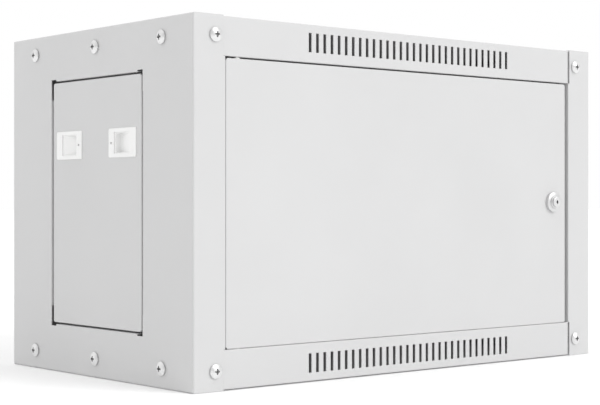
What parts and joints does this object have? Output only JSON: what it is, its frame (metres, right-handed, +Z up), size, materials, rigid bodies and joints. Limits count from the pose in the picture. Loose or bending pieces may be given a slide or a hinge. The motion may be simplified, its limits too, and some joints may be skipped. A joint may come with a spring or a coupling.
{
  "type": "wall mount network cabinet",
  "caption": "Shallow sheet-steel wall cabinet for rack equipment, with a solid locking door, slotted front bars and removable latched side panels.",
  "frame": {"origin": "middle of the cabinet's base, on the plane that it stands on", "axes": "+X to the right seen from the front, +Y from the door to the wall, +Z up"},
  "size_m": [0.6078, 0.3577, 0.3702],
  "materials": {
    "powder_coat": "satin light grey powder coat",
    "zinc_sheet": "bright zinc-plated sheet",
    "zinc_fastener": "bright zinc-plated",
    "white_screw": "painted to match, glossy",
    "white_plastic": "satin moulded plastic",
    "spring_steel": "plain spring strip",
    "lock_metal": "satin die-cast zinc",
    "nylon": "natural moulded",
    "rubber": "matt black"
  },
  "bodies": {
    "cabinet": {"left_side_frame": "powder_coat", "right_side_frame": "powder_coat", "top_panel": "powder_coat", "bottom_panel": "powder_coat", "back_panel": "powder_coat", "hinge_plates": "zinc_sheet", "upper_hinge_pin": "zinc_fastener", "lower_hinge_pin": "zinc_fastener", "door_buffers": "rubber", "left_upper_bracket": "zinc_sheet", "left_lower_bracket": "zinc_sheet", "right_upper_bracket": "zinc_sheet", "right_lower_bracket": "zinc_sheet", "left_side_screws": "white_screw", "right_side_screws": "white_screw", "left_side_nuts": "zinc_fastener", "right_side_nuts": "zinc_fastener", "front_screws": "white_screw", "front_nuts": "zinc_fastener", "back_screws": "zinc_fastener", "top_cable_cover": "powder_coat", "bottom_cable_cover": "powder_coat", "cover_screws": "zinc_fastener", "earth_stud": "zinc_fastener", "earth_nut": "zinc_fastener"},
    "door": {"door_panel": "powder_coat", "hinge_bushes": "nylon", "lock_housing": "lock_metal", "lock_nut": "zinc_fastener"},
    "lock": {"lock_plug": "lock_metal", "lock_cam": "zinc_sheet", "cam_screw": "zinc_fastener"},
    "left_panel": {"left_side_panel": "powder_coat", "left_front_latch_housing": "white_plastic", "left_front_latch_spring": "spring_steel", "left_rear_latch_housing": "white_plastic", "left_rear_latch_spring": "spring_steel"},
    "left_front_latch": {"left_front_latch_slider": "white_plastic"},
    "left_rear_latch": {"left_rear_latch_slider": "white_plastic"},
    "left_rail": {"left_rack_rail": "zinc_sheet", "left_rail_bolts": "zinc_fastener"},
    "right_panel": {"right_side_panel": "powder_coat", "right_front_latch_housing": "white_plastic", "right_front_latch_spring": "spring_steel", "right_rear_latch_housing": "white_plastic", "right_rear_latch_spring": "spring_steel"},
    "right_front_latch": {"right_front_latch_slider": "white_plastic"},
    "right_rear_latch": {"right_rear_latch_slider": "white_plastic"},
    "right_rail": {"right_rack_rail": "zinc_sheet", "right_rail_bolts": "zinc_fastener"}
  },
  "joints": [
    {"name": "door_hinge", "type": "hinge", "parent": "cabinet", "child": "door", "pos_m": [-0.24425, -0.1713, 0.185], "axis": [0, 0, -1], "range_deg": [0, 120]},
    {"name": "lock_turn", "type": "hinge", "parent": "door", "child": "lock", "pos_m": [0.2315, -0.175, 0.186], "axis": [0, 1, 0], "range_deg": [0, 90]},
    {"name": "left_panel_tilt", "type": "hinge", "parent": "cabinet", "child": "left_panel", "pos_m": [-0.2989, 0, 0.0549], "axis": [0, -1, 0], "range_deg": [0, 35]},
    {"name": "left_front_latch_slide", "type": "slide", "parent": "left_panel", "child": "left_front_latch", "axis": [0, -1, 0], "range_m": [0, 0.007], "stiffness_N_per_m": 300, "springref_m": 0.009},
    {"name": "left_rear_latch_slide", "type": "slide", "parent": "left_panel", "child": "left_rear_latch", "axis": [0, 1, 0], "range_m": [0, 0.007], "stiffness_N_per_m": 300, "springref_m": 0.009},
    {"name": "left_rail_slide", "type": "slide", "parent": "cabinet", "child": "left_rail", "axis": [0, 1, 0], "range_m": [0, 0.12]},
    {"name": "right_panel_tilt", "type": "hinge", "parent": "cabinet", "child": "right_panel", "pos_m": [0.2989, 0, 0.0549], "axis": [0, 1, 0], "range_deg": [0, 35]},
    {"name": "right_front_latch_slide", "type": "slide", "parent": "right_panel", "child": "right_front_latch", "axis": [0, -1, 0], "range_m": [0, 0.007], "stiffness_N_per_m": 300, "springref_m": 0.009},
    {"name": "right_rear_latch_slide", "type": "slide", "parent": "right_panel", "child": "right_rear_latch", "axis": [0, 1, 0], "range_m": [0, 0.007], "stiffness_N_per_m": 300, "springref_m": 0.009},
    {"name": "right_rail_slide", "type": "slide", "parent": "cabinet", "child": "right_rail", "axis": [0, 1, 0], "range_m": [0, 0.12]}
  ]
}
